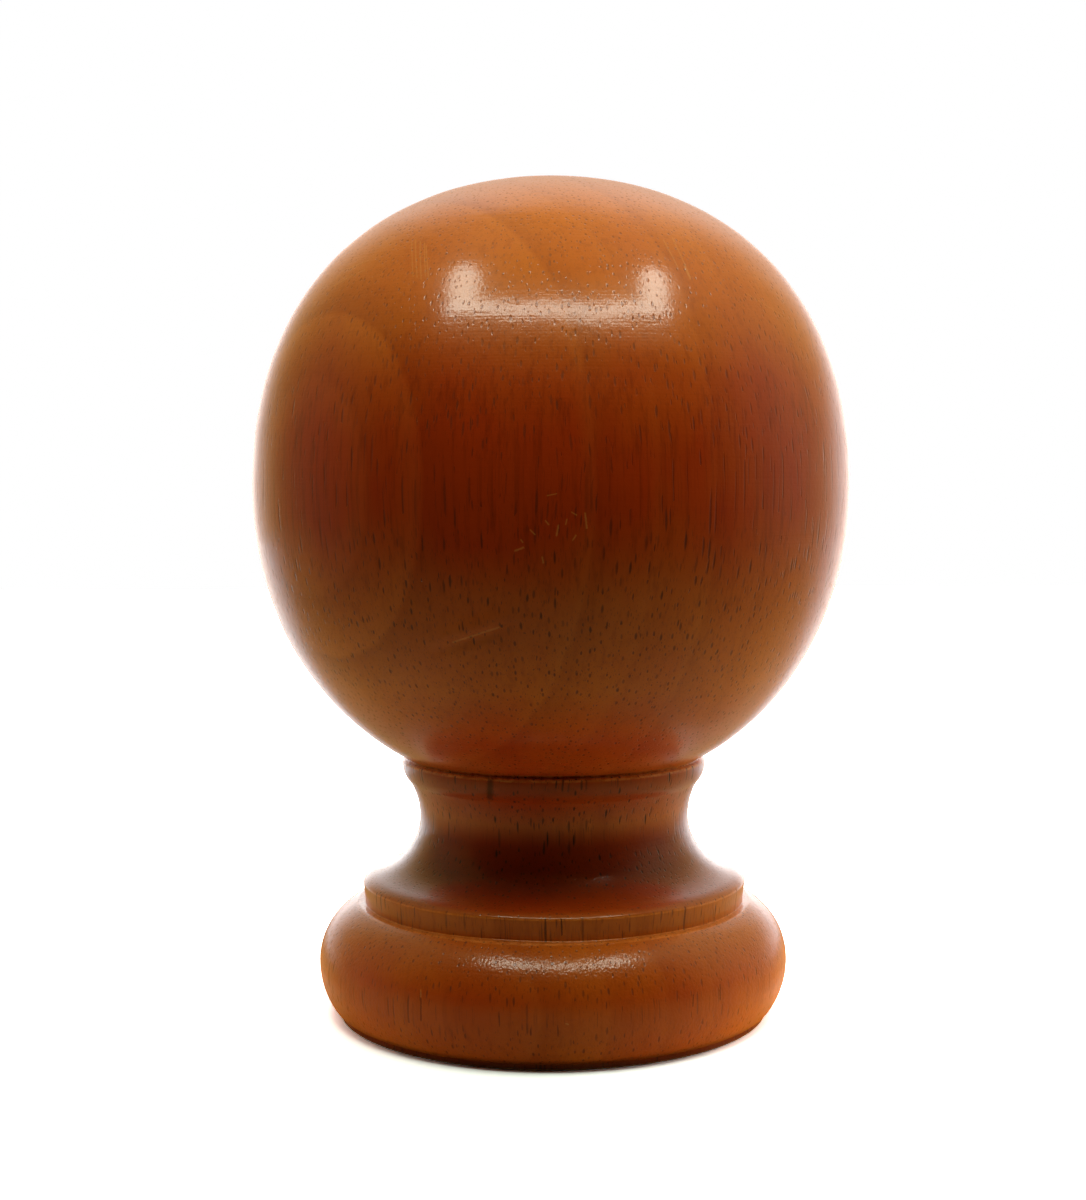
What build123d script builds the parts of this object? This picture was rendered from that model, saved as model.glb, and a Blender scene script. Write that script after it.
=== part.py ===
from build123d import *
import os

# Ball finial for the top of a stair newel post, turned from one piece of wood.
# The foot stands on z = 0 and the turning axis is Z. Lengths are in millimetres.
# From the floor up it has a thin foot, a bulging base bead, a plain band with a crisp rim,
# a flare that runs into a hollow neck, a small collar and the ball.

# Foot and base bead
foot_diameter = 83.0
foot_height = 1.05
bead_diameter = 91.0
bead_lower_height = 9.35        # from the top of the foot up to the bead's widest ring
bead_upper_height = 11.35       # from the widest ring up to the ledge under the band
bead_edge_height = 1.3          # the tighter rounding that turns the bead under to the foot
bead_edge_width = 1.6

# Band above the bead, which stands on a narrow flat ledge
band_diameter = 74.4            # at the rim
band_height = 3.95
band_undercut = 0.4             # the band's foot is this much smaller in radius than its rim
ledge_width = 1.4
ledge_edge_radius = 0.25
rim_radius = 0.45

# Flare and hollow neck
flare_width = 2.35              # rounded shoulder between the rim and the hollow
flare_rise = 1.4
neck_diameter = 52.3
neck_drop = 11.1                # from the narrowest ring down to the flare
neck_rise = 6.6                 # from the narrowest ring up to the collar

# Collar under the ball
collar_overhang = 3.35          # collar radius less neck radius
collar_root = 1.75              # radius that the collar's underside comes in to, less neck radius
collar_side_height = 3.8
collar_top_height = 0.85        # height of the rounded top edge
collar_edge_radius = 0.75

# Ball: a little taller than wide, with fuller shoulders than a true sphere.
# Fullness is the reach of each quarter's handles, which is 0.552 on a true circle.
ball_diameter = 114.3
crown_height = 58.4             # from the widest ring up to the top
crown_fullness = 0.606
belly_height = 59.2             # from the widest ring down to the pole inside the collar
belly_fullness = 0.586
ball_seat_step = 1.4            # collar radius less the ball's, where the ball meets the collar's top

# Blind pilot hole for the hanger bolt that screws the finial down
hole_diameter = 6.4
hole_depth = 40.0               # to the end of the straight wall
hole_mouth_diameter = 9.6
hole_point_height = 1.9         # the cone that the drill's point leaves

# Radii and heights that follow from the sizes above
foot_radius = foot_diameter / 2
bead_radius = bead_diameter / 2
rim_ring_radius = band_diameter / 2
band_foot_radius = rim_ring_radius - band_undercut
ledge_radius = band_foot_radius + ledge_width
neck_radius = neck_diameter / 2
collar_radius = neck_radius + collar_overhang
collar_root_radius = neck_radius + collar_root
ball_radius = ball_diameter / 2
ball_seat_radius = collar_radius - ball_seat_step

bead_widest_z = foot_height + bead_lower_height
ledge_z = bead_widest_z + bead_upper_height
rim_z = ledge_z + band_height
flare_z = rim_z + flare_rise
neck_z = flare_z + neck_drop
collar_root_z = neck_z + neck_rise
collar_side_z = collar_root_z + collar_side_height
collar_top_z = collar_side_z + collar_top_height


def belly_quarter(pole_z):
    """The ball's lower quarter, from its widest ring down to its pole."""
    return Bezier(
        (ball_radius, pole_z + belly_height),
        (ball_radius, pole_z + belly_height * (1 - belly_fullness)),
        (ball_radius * belly_fullness, pole_z),
        (0, pole_z),
    )


# The ball sinks into the collar as far as its seat's radius says
seat_line = Line((ball_seat_radius, 0), (ball_seat_radius, belly_height))
ball_sink = belly_quarter(0).intersect(seat_line)[0].Y
ball_bottom_z = collar_top_z - ball_sink
ball_centre_z = ball_bottom_z + belly_height
ball_top_z = ball_centre_z + crown_height


def ring_edge(turned, radius, height):
    """The circular edge of a turned body that lies nearest to a radius and a height."""
    rings = turned.edges().filter_by(GeomType.CIRCLE)
    return rings.sort_by(lambda ring: abs(ring.radius - radius) + abs(ring.center().Z - height))[0]


with BuildPart() as ball_finial:
    with BuildSketch(Plane.XZ):
        # Half section of the ball, two full quarters that meet at its widest ring
        with BuildLine():
            crown = Bezier(
                (0, ball_top_z),
                (ball_radius * crown_fullness, ball_top_z),
                (ball_radius, ball_centre_z + crown_height * crown_fullness),
                (ball_radius, ball_centre_z),
            )
            belly = belly_quarter(ball_bottom_z)
            Line(belly @ 1, crown @ 0)
        make_face()

        # Half section of the stem, from the foot up to the collar's flat top
        with BuildLine():
            foot = Polyline((0, 0), (foot_radius, 0), (foot_radius, foot_height))
            bead_edge_start = (foot_radius + bead_edge_width, foot_height + bead_edge_height)
            bead_lower = TangentArc((bead_radius, bead_widest_z), bead_edge_start, tangent=(0, -1))
            TangentArc(bead_lower @ 1, foot @ 1, tangent=bead_lower % 1)
            bead_upper = TangentArc(
                (bead_radius, bead_widest_z),
                (ledge_radius, ledge_z),
                tangent=(0, 1),
            )
            band = Polyline(
                bead_upper @ 1,
                (band_foot_radius, ledge_z),
                (rim_ring_radius, rim_z),
            )
            hollow_lower = TangentArc(
                (neck_radius, neck_z),
                (rim_ring_radius - flare_width, flare_z),
                tangent=(0, -1),
            )
            TangentArc(hollow_lower @ 1, band @ 1, tangent=hollow_lower % 1)
            hollow_upper = TangentArc(
                (neck_radius, neck_z),
                (collar_root_radius, collar_root_z),
                tangent=(0, 1),
            )
            collar_side = TangentArc(
                (collar_radius, collar_side_z),
                hollow_upper @ 1,
                tangent=(0, -1),
            )
            Polyline(collar_side @ 0, (collar_radius, collar_top_z), (0, collar_top_z), (0, 0))
        make_face()
    revolve(axis=Axis.Z)

    # Fine roundings that the sanding leaves on the crisp edges
    fillet(ring_edge(ball_finial, rim_ring_radius, rim_z), rim_radius)
    fillet(ring_edge(ball_finial, ledge_radius, ledge_z), ledge_edge_radius)
    fillet(ring_edge(ball_finial, collar_radius, collar_top_z), collar_edge_radius)

    # Pilot hole, with a countersunk mouth and the drill's cone at its end
    with BuildSketch(Plane.XZ):
        with BuildLine():
            mouth_depth = (hole_mouth_diameter - hole_diameter) / 2
            Polyline(
                (0, 0),
                (hole_mouth_diameter / 2, 0),
                (hole_diameter / 2, mouth_depth),
                (hole_diameter / 2, hole_depth),
                (0, hole_depth + hole_point_height),
                close=True,
            )
        make_face()
    revolve(axis=Axis.Z, mode=Mode.SUBTRACT)

ball_finial.part.label = "ball_finial"

os.makedirs("parts", exist_ok=True)
export_step(ball_finial.part, "parts/ball_finial.step")
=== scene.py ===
"""Dresses a turned, stained and varnished wooden ball finial and sets up its studio.

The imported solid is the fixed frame. The finial's own mesh follows the same section as the
solid, with the small faults of the turning and the wear of use, and it takes the solid's place
in the picture. Sizes are in millimetres and become metres only where a mesh or a light is made.
"""

import logging
import math
from collections.abc import Sequence
from dataclasses import dataclass, field
from enum import Enum

import bpy
import numpy as np
from mathutils import Matrix, Vector


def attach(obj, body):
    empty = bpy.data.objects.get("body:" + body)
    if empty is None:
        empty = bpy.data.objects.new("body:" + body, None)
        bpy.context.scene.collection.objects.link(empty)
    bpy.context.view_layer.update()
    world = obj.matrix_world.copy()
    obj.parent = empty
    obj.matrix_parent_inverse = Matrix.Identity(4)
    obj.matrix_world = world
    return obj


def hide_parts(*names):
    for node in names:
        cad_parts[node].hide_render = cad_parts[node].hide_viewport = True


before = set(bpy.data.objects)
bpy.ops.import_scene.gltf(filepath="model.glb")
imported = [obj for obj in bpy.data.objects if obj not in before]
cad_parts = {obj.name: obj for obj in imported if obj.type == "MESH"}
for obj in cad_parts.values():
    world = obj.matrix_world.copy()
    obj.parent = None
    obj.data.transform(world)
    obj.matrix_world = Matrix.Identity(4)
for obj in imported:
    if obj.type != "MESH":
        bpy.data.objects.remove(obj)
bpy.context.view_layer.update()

LOG = logging.getLogger("finial")
MM = 0.001
NODE = "ball_finial"

Colour = tuple[float, float, float]
Point = tuple[float, float]
Levels = tuple[tuple[float, float], ...]
Socket = bpy.types.NodeSocket


def srgb(red: int, green: int, blue: int) -> Colour:
    """A screen colour as the linear colour that a shader takes.

    Args:
        red: Red level, 0 to 255.
        green: Green level, 0 to 255.
        blue: Blue level, 0 to 255.

    Returns:
        The linear colour.
    """
    def channel(value: int) -> float:
        """Undoes the screen's curve for one level."""
        share = value / 255
        return share / 12.92 if share <= 0.04045 else ((share + 0.055) / 1.055) ** 2.4
    return (channel(red), channel(green), channel(blue))


class Finish(Enum):
    """The finishes that faces of the finial take, by material index."""

    VARNISHED = 0
    RAW = 1


class MarkKind(Enum):
    """The kinds of wear on the varnish."""

    SCRATCH = "pale scratch"
    FLECK = "chipped fleck down to pale wood"
    STAIN = "dark streak in the grain"
    DENT = "pressed crease"


# Section of the turned body


def straight(start: Point, end: Point, count: int = 60) -> np.ndarray:
    """Points along a straight run of the section.

    Args:
        start: First point, as radius and height.
        end: Last point.
        count: How many points to lay.

    Returns:
        An array of count points.
    """
    return np.linspace(np.array(start, float), np.array(end, float), count)


def tangent_arc(start: Point, end: Point, tangent: Point, count: int = 160) -> np.ndarray:
    """Points along the circular arc that leaves a point in a given direction.

    Args:
        start: First point, as radius and height.
        end: Last point.
        tangent: Direction in which the arc leaves start.
        count: How many points to lay.

    Returns:
        An array of count points.
    """
    p, q = np.array(start, float), np.array(end, float)
    t = np.array(tangent, float) / np.linalg.norm(tangent)
    chord = q - p
    side = np.array([-t[1], t[0]])
    bend = 2 * (chord @ side) / (chord @ chord)
    centre = p + side / bend
    first = math.atan2(*(p - centre)[::-1])
    last = math.atan2(*(q - centre)[::-1])
    if bend > 0 and last < first:
        last += 2 * math.pi
    if bend < 0 and last > first:
        last -= 2 * math.pi
    turn = np.linspace(first, last, count)
    return centre + np.stack([np.cos(turn), np.sin(turn)], axis=-1) / abs(bend)


def bezier(controls: Sequence[Point], count: int = 400) -> np.ndarray:
    """Points along a cubic curve.

    Args:
        controls: The four control points, as radius and height.
        count: How many points to lay.

    Returns:
        An array of count points.
    """
    a, b, c, d = (np.array(p, float) for p in controls)
    t = np.linspace(0, 1, count)[:, None]
    s = 1 - t
    return a * s**3 + 3 * b * s**2 * t + 3 * c * s * t**2 + d * t**3


def run_lengths(points: np.ndarray) -> np.ndarray:
    """Length along a polyline at each of its points, from 0 at the first."""
    return np.concatenate([[0], np.cumsum(np.linalg.norm(np.diff(points, axis=0), axis=1))])


@dataclass
class TurnedSection:
    """Half section of the finial, from the hole's point over the underside to the ball's top."""

    foot_diameter: float = 83.0
    foot_height: float = 1.05
    bead_diameter: float = 91.0
    bead_lower_height: float = 9.35
    bead_upper_height: float = 11.35
    bead_edge_height: float = 1.3
    bead_edge_width: float = 1.6
    band_diameter: float = 74.4
    band_height: float = 3.95
    band_undercut: float = 0.4
    ledge_width: float = 1.4
    flare_width: float = 2.35
    flare_rise: float = 1.4
    neck_diameter: float = 52.3
    neck_drop: float = 11.1
    neck_rise: float = 6.6
    collar_overhang: float = 3.35
    collar_root: float = 1.75
    collar_side_height: float = 3.8
    collar_top_height: float = 0.85
    ball_diameter: float = 114.3
    crown_height: float = 58.4
    crown_fullness: float = 0.606
    belly_height: float = 59.2
    belly_fullness: float = 0.586
    ball_seat_step: float = 1.4
    hole_diameter: float = 6.4
    hole_depth: float = 40.0
    hole_mouth_diameter: float = 9.6
    hole_point_height: float = 1.9
    hole_softness: float = 0.1
    underside_softness: float = 0.15
    foot_softness: float = 0.2
    undercut_softness: float = 0.12
    rim_softness: float = 0.42
    ledge_softness: float = 0.32
    collar_softness: float = 0.8
    groove_softness: float = 0.14
    seat_softness: float = 0.58
    longest_step: float = 0.95
    sharpest_turn: float = 9.0
    finest_step: float = 0.04
    fewest_points: int = 12
    corner_points: int = 24
    raw_share: float = 0.16
    search_reach: float = 0.25
    runs: list[tuple[np.ndarray, float]] = field(default_factory=list)

    def __post_init__(self) -> None:
        """Works out the heights and radii and lays the runs of the section."""
        self.bead_z = self.foot_height + self.bead_lower_height
        self.ledge_z = self.bead_z + self.bead_upper_height
        self.rim_z = self.ledge_z + self.band_height
        self.flare_z = self.rim_z + self.flare_rise
        self.neck_z = self.flare_z + self.neck_drop
        self.root_z = self.neck_z + self.neck_rise
        self.side_z = self.root_z + self.collar_side_height
        self.collar_z = self.side_z + self.collar_top_height
        self._lay_underside()
        self._lay_stem()
        self._lay_ball()

    def _lay_underside(self) -> None:
        """Adds the pilot hole and the flat underside, which stay raw wood."""
        hole, mouth = self.hole_diameter / 2, self.hole_mouth_diameter / 2
        point = self.hole_depth + self.hole_point_height
        self.runs.append((straight((0, point), (hole, self.hole_depth)), 0))
        self.runs.append((straight((hole, self.hole_depth), (hole, mouth - hole)), self.hole_softness))
        self.runs.append((straight((hole, mouth - hole), (mouth, 0)), self.hole_softness))
        self.runs.append((straight((mouth, 0), (self.foot_diameter / 2, 0)), self.underside_softness))
        self.raw_runs = len(self.runs)

    def _lay_stem(self) -> None:
        """Adds the foot, the bead, the band, the hollow neck and the collar."""
        foot, bead = self.foot_diameter / 2, self.bead_diameter / 2
        rim = self.band_diameter / 2
        band_foot = rim - self.band_undercut
        ledge = band_foot + self.ledge_width
        neck = self.neck_diameter / 2
        root, collar = neck + self.collar_root, neck + self.collar_overhang
        self.collar_radius = collar

        edge = (foot + self.bead_edge_width, self.foot_height + self.bead_edge_height)
        lower = tangent_arc((bead, self.bead_z), edge, (0, -1))
        turn_under = tangent_arc(edge, (foot, self.foot_height), tuple(lower[-1] - lower[-2]))
        flare_end = (rim - self.flare_width, self.flare_z)
        hollow = tangent_arc((neck, self.neck_z), flare_end, (0, -1))
        flare = tangent_arc(flare_end, (rim, self.rim_z), tuple(hollow[-1] - hollow[-2]))

        self.runs.append((straight((foot, 0), (foot, self.foot_height)), self.foot_softness))
        self.runs.append((turn_under[::-1], self.undercut_softness))
        self.runs.append((lower[::-1], 0))
        self.runs.append((tangent_arc((bead, self.bead_z), (ledge, self.ledge_z), (0, 1)), 0))
        self.runs.append((straight((ledge, self.ledge_z), (band_foot, self.ledge_z)), self.ledge_softness))
        self.runs.append((straight((band_foot, self.ledge_z), (rim, self.rim_z)), self.groove_softness))
        self.runs.append((flare[::-1], self.rim_softness))
        self.runs.append((hollow[::-1], 0))
        self.runs.append((tangent_arc((neck, self.neck_z), (root, self.root_z), (0, 1)), 0))
        side = tangent_arc((collar, self.side_z), (root, self.root_z), (0, -1))
        self.runs.append((side[::-1], self.groove_softness))
        self.runs.append((straight((collar, self.side_z), (collar, self.collar_z)), 0))

    def _lay_ball(self) -> None:
        """Adds the collar's flat top and the ball, which stands so low that it meets its seat."""
        radius = self.ball_diameter / 2
        belly = bezier([
            (0, 0),
            (radius * self.belly_fullness, 0),
            (radius, self.belly_height * (1 - self.belly_fullness)),
            (radius, self.belly_height),
        ])
        seat = self.collar_radius - self.ball_seat_step
        sink = float(np.interp(seat, belly[:, 0], belly[:, 1]))
        self.ball_bottom_z = self.collar_z - sink
        self.ball_centre_z = self.ball_bottom_z + self.belly_height
        shown = belly[belly[:, 0] > seat] + (0, self.ball_bottom_z)
        shown = np.vstack([[seat, self.collar_z], shown])
        crown = bezier([
            (radius, self.ball_centre_z),
            (radius, self.ball_centre_z + self.crown_height * self.crown_fullness),
            (radius * self.crown_fullness, self.ball_centre_z + self.crown_height),
            (0, self.ball_centre_z + self.crown_height),
        ])
        top = straight((self.collar_radius, self.collar_z), (seat, self.collar_z))
        self.runs.append((top, self.collar_softness))
        self.runs.append((shown, self.seat_softness))
        self.runs.append((crown, 0))

    def _joined(self) -> tuple[np.ndarray, np.ndarray]:
        """The runs as one dense polyline, with each corner rounded by its run's softness.

        Returns:
            The points, and for each point whether it belongs to the varnished surface.
        """
        pieces, tags = [], []
        for index, (points, softness) in enumerate(self.runs):
            lengths = run_lengths(points)
            later = self.runs[index + 1][1] if index + 1 < len(self.runs) else 0
            start, end = softness, lengths[-1] - later
            count = max(self.fewest_points, int((end - start) / self.finest_step))
            at = np.linspace(start, end, count)
            cut = np.stack([np.interp(at, lengths, points[:, k]) for k in (0, 1)], axis=-1)
            if softness:
                t = np.linspace(0, 1, self.corner_points + 2)[1:-1, None]
                last = pieces[-1][-1]
                corner = last * (1 - t) ** 2 + 2 * points[0] * t * (1 - t) + cut[0] * t**2
                pieces.append(corner)
                tags.append(np.full(len(corner), index > self.raw_runs))
            pieces.append(cut if softness or not pieces else cut[1:])
            tags.append(np.full(len(pieces[-1]), index >= self.raw_runs))
        return np.vstack(pieces), np.concatenate(tags)

    def rows(self) -> tuple[np.ndarray, np.ndarray]:
        """Rows of the mesh: far apart on even curves, close together round the edges.

        Returns:
            Points from the hole's point to the ball's top, and whether each is varnished.
        """
        points, varnished = self._joined()
        step = np.diff(points, axis=0)
        heading = np.unwrap(np.arctan2(step[:, 1], step[:, 0]))
        turn = np.abs(np.gradient(heading)) / math.radians(self.sharpest_turn)
        length = np.linalg.norm(step, axis=1) / self.longest_step
        plain = np.where(varnished[1:], 1.0, self.raw_share)
        effort = np.concatenate([[0], np.cumsum(np.maximum(length * plain, turn))])
        count = int(effort[-1]) + 1
        at = np.linspace(0, effort[-1], count)
        index = np.interp(at, effort, np.arange(len(points)))
        places = np.arange(len(points))
        rows = np.stack([np.interp(index, places, points[:, k]) for k in (0, 1)], axis=-1)
        return rows, varnished[np.minimum(np.round(index).astype(int), len(varnished) - 1)]

    def radius_at(self, height: float) -> float:
        """Radius of the outer surface at a height on the bead, the collar or the ball.

        Args:
            height: Height above the floor.

        Returns:
            The radius there.
        """
        points, varnished = self._joined()
        points = points[varnished]
        near = points[np.abs(points[:, 1] - height) < self.search_reach]
        return float(near[:, 0].max()) if len(near) else self.ball_diameter / 2


# Wear


@dataclass(frozen=True)
class Mark:
    """One line of wear, from a start to an end, each as degrees round from the front and height."""

    kind: MarkKind
    start: Point
    end: Point
    width: float


WEAR = (
    Mark(MarkKind.SCRATCH, (-35.1, 144.4), (-29.7, 137.8), 0.30),
    Mark(MarkKind.SCRATCH, (-34.4, 144.8), (-28.6, 137.6), 0.34),
    Mark(MarkKind.SCRATCH, (-32.5, 144.3), (-27.4, 137.2), 0.38),
    Mark(MarkKind.SCRATCH, (-31.0, 144.0), (-26.6, 137.7), 0.30),
    Mark(MarkKind.SCRATCH, (-30.0, 143.4), (-25.6, 137.1), 0.34),
    Mark(MarkKind.SCRATCH, (27.8, 144.2), (28.2, 139.0), 0.28),
    Mark(MarkKind.SCRATCH, (30.8, 144.7), (30.3, 137.4), 0.30),
    Mark(MarkKind.FLECK, (30.0, 139.4), (30.1, 137.1), 0.42),
    Mark(MarkKind.SCRATCH, (-54.4, 137.7), (-45.5, 139.9), 0.30),
    Mark(MarkKind.SCRATCH, (-52.5, 140.7), (-46.1, 141.8), 0.24),
    Mark(MarkKind.SCRATCH, (44.1, 135.3), (53.9, 131.7), 0.24),
    Mark(MarkKind.STAIN, (66.8, 131.8), (63.4, 126.7), 0.34),
    # A painted highlight: this pale line lies along the pressed crease's upper lip, where the lip catches
    # the light.
    Mark(MarkKind.SCRATCH, (-18.5, 75.9), (-9.5, 78.6), 0.4),
    Mark(MarkKind.FLECK, (5.6, 97.6), (5.9, 95.2), 0.42),
    Mark(MarkKind.FLECK, (-0.6, 100.5), (0.9, 100.8), 0.26),
    Mark(MarkKind.FLECK, (-6.0, 91.5), (-4.6, 92.0), 0.46),
    Mark(MarkKind.FLECK, (-1.5, 90.4), (-1.3, 89.5), 0.40),
    Mark(MarkKind.FLECK, (1.2, 95.6), (0.9, 94.0), 0.42),
    Mark(MarkKind.FLECK, (3.4, 97.8), (4.2, 97.3), 0.30),
    Mark(MarkKind.FLECK, (2.6, 96.6), (2.4, 95.8), 0.32),
    Mark(MarkKind.FLECK, (-3.4, 94.9), (-2.7, 94.2), 0.34),
    Mark(MarkKind.FLECK, (4.1, 94.0), (3.6, 93.2), 0.36),
    Mark(MarkKind.FLECK, (-0.9, 96.4), (-0.4, 95.8), 0.34),
    Mark(MarkKind.FLECK, (-5.0, 93.3), (-4.7, 92.9), 0.3),
    Mark(MarkKind.FLECK, (-31.0, 13.6), (-30.8, 12.5), 0.34),
    Mark(MarkKind.STAIN, (-30.7, 12.1), (-30.8, 8.2), 0.34),
    Mark(MarkKind.FLECK, (2.8, 9.5), (3.3, 9.4), 0.34),
    Mark(MarkKind.STAIN, (-22.3, 48.6), (-23.1, 45.6), 1.6),
    Mark(MarkKind.FLECK, (-18.6, 48.9), (-14.5, 48.8), 0.36),
    Mark(MarkKind.STAIN, (41.2, 13.1), (40.9, 10.5), 0.34),
    Mark(MarkKind.STAIN, (33.0, 12.4), (32.8, 10.5), 0.30),
)

CREASE = Mark(MarkKind.DENT, (-21.5, 74.3), (-7.4, 78.7), 1.5)


# Mesh of the finial


@dataclass
class FinialBody:
    """The whole finial as one turned mesh, with the small faults of its making and use."""

    section: TurnedSection
    columns: int = 372
    front_half_angle: float = 105.0
    front_fade: float = 20.0
    front_density: float = 3.2
    runout: float = 0.36
    waviness: float = 0.018
    wave_count: int = 14
    shortest_wave: float = 7.0
    wave_inset: float = 3.05
    edge_wander: float = 0.05
    edge_wave_count: int = 9
    shortest_edge_wave: float = 5.0
    rim_reach: float = 1.2
    ledge_reach: float = 0.8
    crease_depth: float = 0.42
    crease_half_width: float = 0.5
    crease_end: float = 0.8
    lip_height: float = 0.75
    lip_place: float = 1.1
    crease_clearance: float = 4.0
    seed: int = 11

    def _angles(self) -> np.ndarray:
        """Angles of the columns, closer together over the front half.

        Returns:
            The angles in radians, from the back round to the back.
        """
        dense = np.linspace(-math.pi, math.pi, 4001)
        reach = math.radians(self.front_half_angle)
        fade = np.clip((np.abs(dense) - reach) / math.radians(self.front_fade), 0, 1)
        density = self.front_density + (1 - self.front_density) * fade**2 * (3 - 2 * fade)
        total = np.concatenate([[0], np.cumsum((density[1:] + density[:-1]) / 2)])
        at = np.linspace(0, total[-1], self.columns + 1)[:-1]
        return np.interp(at, total, dense)

    def _waves(self, angle: np.ndarray, along: np.ndarray, count: int, shortest: float) -> np.ndarray:
        """Smooth random waves over the surface, about -1 to 1.

        Args:
            angle: Angle of each point, in radians.
            along: Length along the section at each point, in millimetres.
            count: How many waves to add up.
            shortest: Shortest wavelength along the section, in millimetres.

        Returns:
            The waves' sum at each point.
        """
        random = np.random.default_rng(self.seed)
        total = np.zeros(np.broadcast(angle, along).shape)
        for _ in range(count):
            turns = random.integers(0, 9)
            pitch = random.uniform(shortest, shortest * 4)
            phase = random.uniform(0, 2 * math.pi)
            total += np.sin(turns * angle + 2 * math.pi * along / pitch + phase)
        return total / math.sqrt(count)

    def _runout(self, height: np.ndarray) -> np.ndarray:
        """How far the turned rings stand off the axis, to the right, at each height.

        Args:
            height: Heights of the points.

        Returns:
            The distances to the right.
        """
        knots = (0, 14, 22, 30, 46, 52, 72)
        shares = (0.0, 0.15, 0.75, 1.0, 1.0, 0.8, 0.0)
        return self.runout * np.interp(height, knots, shares)

    def _crease(self, across: np.ndarray, up: np.ndarray) -> np.ndarray:
        """Depth of the pressed crease below the ball's front.

        Args:
            across: Way round from the front at each point.
            up: Height of each point.

        Returns:
            The depth, below zero on the crease's raised lip.
        """
        radius = self.section.radius_at(sum((CREASE.start[1], CREASE.end[1])) / 2)
        ends = [np.array([math.radians(a) * radius, z]) for a, z in (CREASE.start, CREASE.end)]
        run = ends[1] - ends[0]
        length = np.linalg.norm(run)
        along = ((across - ends[0][0]) * run[0] + (up - ends[0][1]) * run[1]) / length
        off = (-(across - ends[0][0]) * run[1] + (up - ends[0][1]) * run[0]) / length
        share = np.clip(along / length, 0, 1)
        beyond = np.hypot(along - share * length, off)
        fade = np.sin(math.pi * np.clip(0.1 + share * 0.8, 0, 1))
        groove = np.exp(-((off / (CREASE.width * self.crease_half_width)) ** 2))
        lip = np.exp(-(((off - CREASE.width * self.lip_place) / CREASE.width) ** 2))
        run_out = np.exp(-((beyond - np.abs(off)) / self.crease_end) ** 2)
        return self.crease_depth * fade * (groove - self.lip_height * lip) * run_out

    def build(self) -> bpy.types.Object:
        """Makes the mesh object.

        Returns:
            The finial, in metres in the frame's own place, with a material index on each face.
        """
        rows, varnished = self.section.rows()
        angle = self._angles()
        ring, caps = rows[1:-1], (rows[0], rows[-1])
        along = run_lengths(rows)[1:-1, None]
        turn = angle[None, :]
        radius = np.repeat(ring[:, :1], len(angle), axis=1)
        height = np.repeat(ring[:, 1:], len(angle), axis=1)
        outer = varnished[1:-1, None] & (height > self.section.foot_height)

        step = np.gradient(rows, axis=0)[1:-1]
        step /= np.linalg.norm(step, axis=1, keepdims=True)
        normal_r, normal_z = step[:, 1:2], -step[:, 0:1]
        waves = self._waves(turn, along, self.wave_count, self.shortest_wave)
        lift = self.waviness * (waves - self.wave_inset)
        on_ball = height > self.section.collar_z + self.crease_clearance
        lift = lift - self._crease(turn * radius, height) * on_ball
        lift = np.where(outer, lift, 0)
        radius += lift * normal_r
        height += lift * normal_z
        edges = np.exp(-(((ring[:, 1:] - self.section.rim_z) / self.rim_reach) ** 2))
        edges += np.exp(-(((ring[:, 1:] - self.section.ledge_z) / self.ledge_reach) ** 2))
        wander = self._waves(turn, along * 0, self.edge_wave_count, self.shortest_edge_wave)
        height += np.where(outer, self.edge_wander * edges * wander, 0)

        x = radius * np.sin(turn) + self._runout(height)
        y = -radius * np.cos(turn)
        grid = np.stack([x, y, height], axis=-1).reshape(-1, 3)
        points = np.vstack([[0, 0, caps[0][1]], grid, [0, 0, caps[1][1]]])

        faces, finish = self._faces(len(ring), len(angle), varnished)
        mesh = bpy.data.meshes.new("turned_ball_finial")
        mesh.from_pydata((points * MM).tolist(), [], faces)
        mesh.polygons.foreach_set("use_smooth", np.ones(len(faces), bool))
        mesh.polygons.foreach_set("material_index", finish)
        mesh.validate()
        mesh.update()
        body = bpy.data.objects.new("turned_ball_finial", mesh)
        bpy.context.scene.collection.objects.link(body)
        return body

    def _faces(self, rings: int, columns: int, varnished: np.ndarray) -> tuple[list[list[int]], list[int]]:
        """Faces between the rings and over the two ends.

        Args:
            rings: How many rings the mesh has between its two end points.
            columns: How many points each ring has.
            varnished: For each row of the section, whether it is varnished.

        Returns:
            Each face as point numbers, and each face's material index.
        """
        first = np.arange(columns)
        after = (first + 1) % columns
        faces, finish = [], []

        def take(cells: np.ndarray, row: int) -> None:
            """Adds one row of faces with the finish of its section row.

            Args:
                cells: Point numbers of each face.
                row: Row of the section that the faces start from.
            """
            faces.extend(cells.tolist())
            kind = Finish.VARNISHED if varnished[row] else Finish.RAW
            finish.extend([kind.value] * len(cells))

        take(np.stack([np.zeros_like(first), 1 + first, 1 + after], axis=-1), 0)
        for ring in range(rings - 1):
            low, high = 1 + ring * columns, 1 + (ring + 1) * columns
            take(np.stack([low + first, high + first, high + after, low + after], axis=-1), ring + 1)
        last, top = 1 + (rings - 1) * columns, 1 + rings * columns
        take(np.stack([last + first, np.full_like(first, top), last + after], axis=-1), rings)
        return faces, finish


# Shader nodes


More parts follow.
